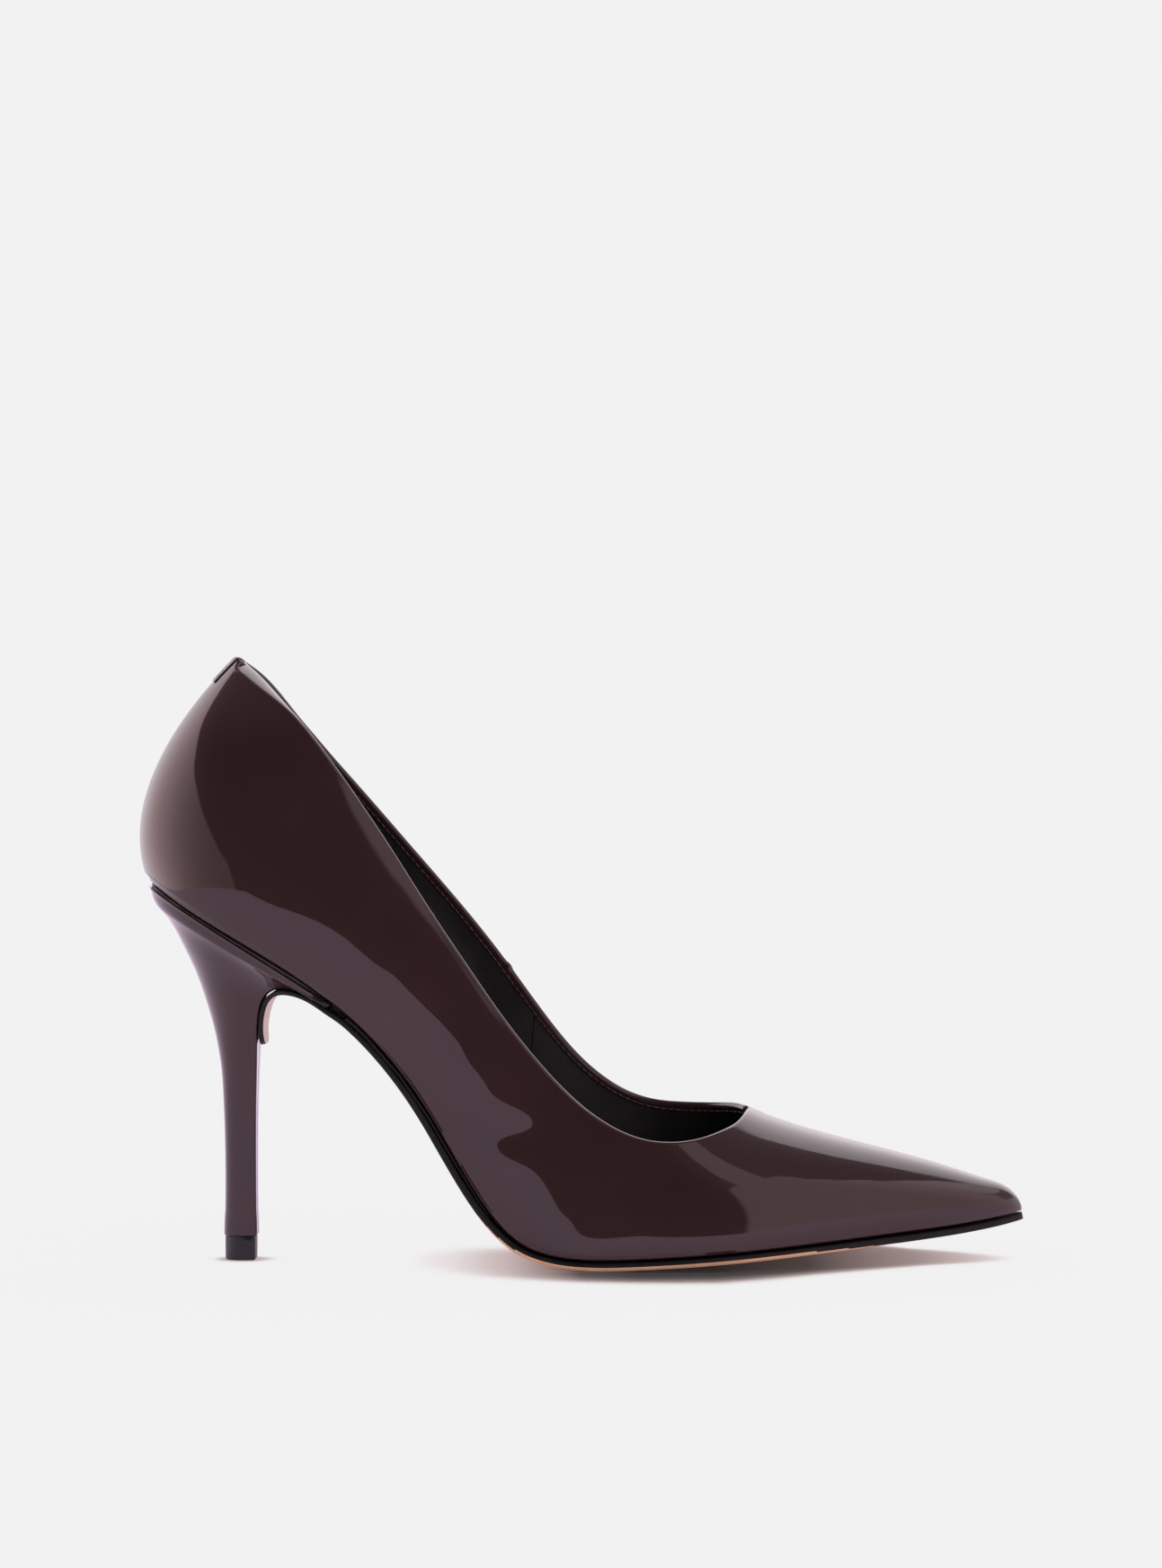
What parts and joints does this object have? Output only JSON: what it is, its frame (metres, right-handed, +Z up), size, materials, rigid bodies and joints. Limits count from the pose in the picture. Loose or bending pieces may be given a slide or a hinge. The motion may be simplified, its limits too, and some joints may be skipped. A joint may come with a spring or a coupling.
{
  "type": "high heel pump",
  "caption": "Closed-toe court shoe with a slender high heel, slanted open topline and a leather sole with a breast flap, right foot.",
  "frame": {"origin": "middle of the shoe's bounding box at floor level, under the arch", "axes": "+X towards the toe, +Y towards the inner side of the foot, +Z up"},
  "size_m": [0.2355, 0.0709, 0.161],
  "materials": {
    "patent_upper": "patent, high gloss",
    "lining_leather": "smooth, matt",
    "grip_suede": "suede",
    "stiffener": "resin-stiffened nonwoven",
    "fibreboard": "matt board",
    "foam": "soft foam",
    "cork_filler": "granulated cork",
    "edge_leather": "edge dyed",
    "sole_leather": "waxed, dyed edge",
    "heel_plastic": "moulded",
    "tip_rubber": "hard polyurethane, satin",
    "steel": "plain"
  },
  "bodies": {
    "root": {"vamp_lateral_quarter": "patent_upper", "medial_quarter": "patent_upper", "back_tab": "patent_upper", "topline_facing": "patent_upper", "heel_cover": "patent_upper", "vamp_lining": "lining_leather", "quarter_lining": "lining_leather", "sock_lining": "lining_leather", "heel_grip": "grip_suede", "heel_counter": "stiffener", "toe_puff": "stiffener", "insole_board": "fibreboard", "sock_foam": "foam", "bottom_filler": "cork_filler", "waist_filler": "edge_leather", "steel_shank": "steel", "shank_rivet_rear": "steel", "shank_rivet_front": "steel", "outsole": "sole_leather", "heel_core": "heel_plastic", "heel_dowel": "steel", "heel_screw": "steel", "heel_nail_1": "steel", "heel_nail_2": "steel", "heel_nail_3": "steel", "heel_nail_4": "steel", "top_piece": "tip_rubber", "top_piece_pin": "steel"}
  },
  "joints": []
}
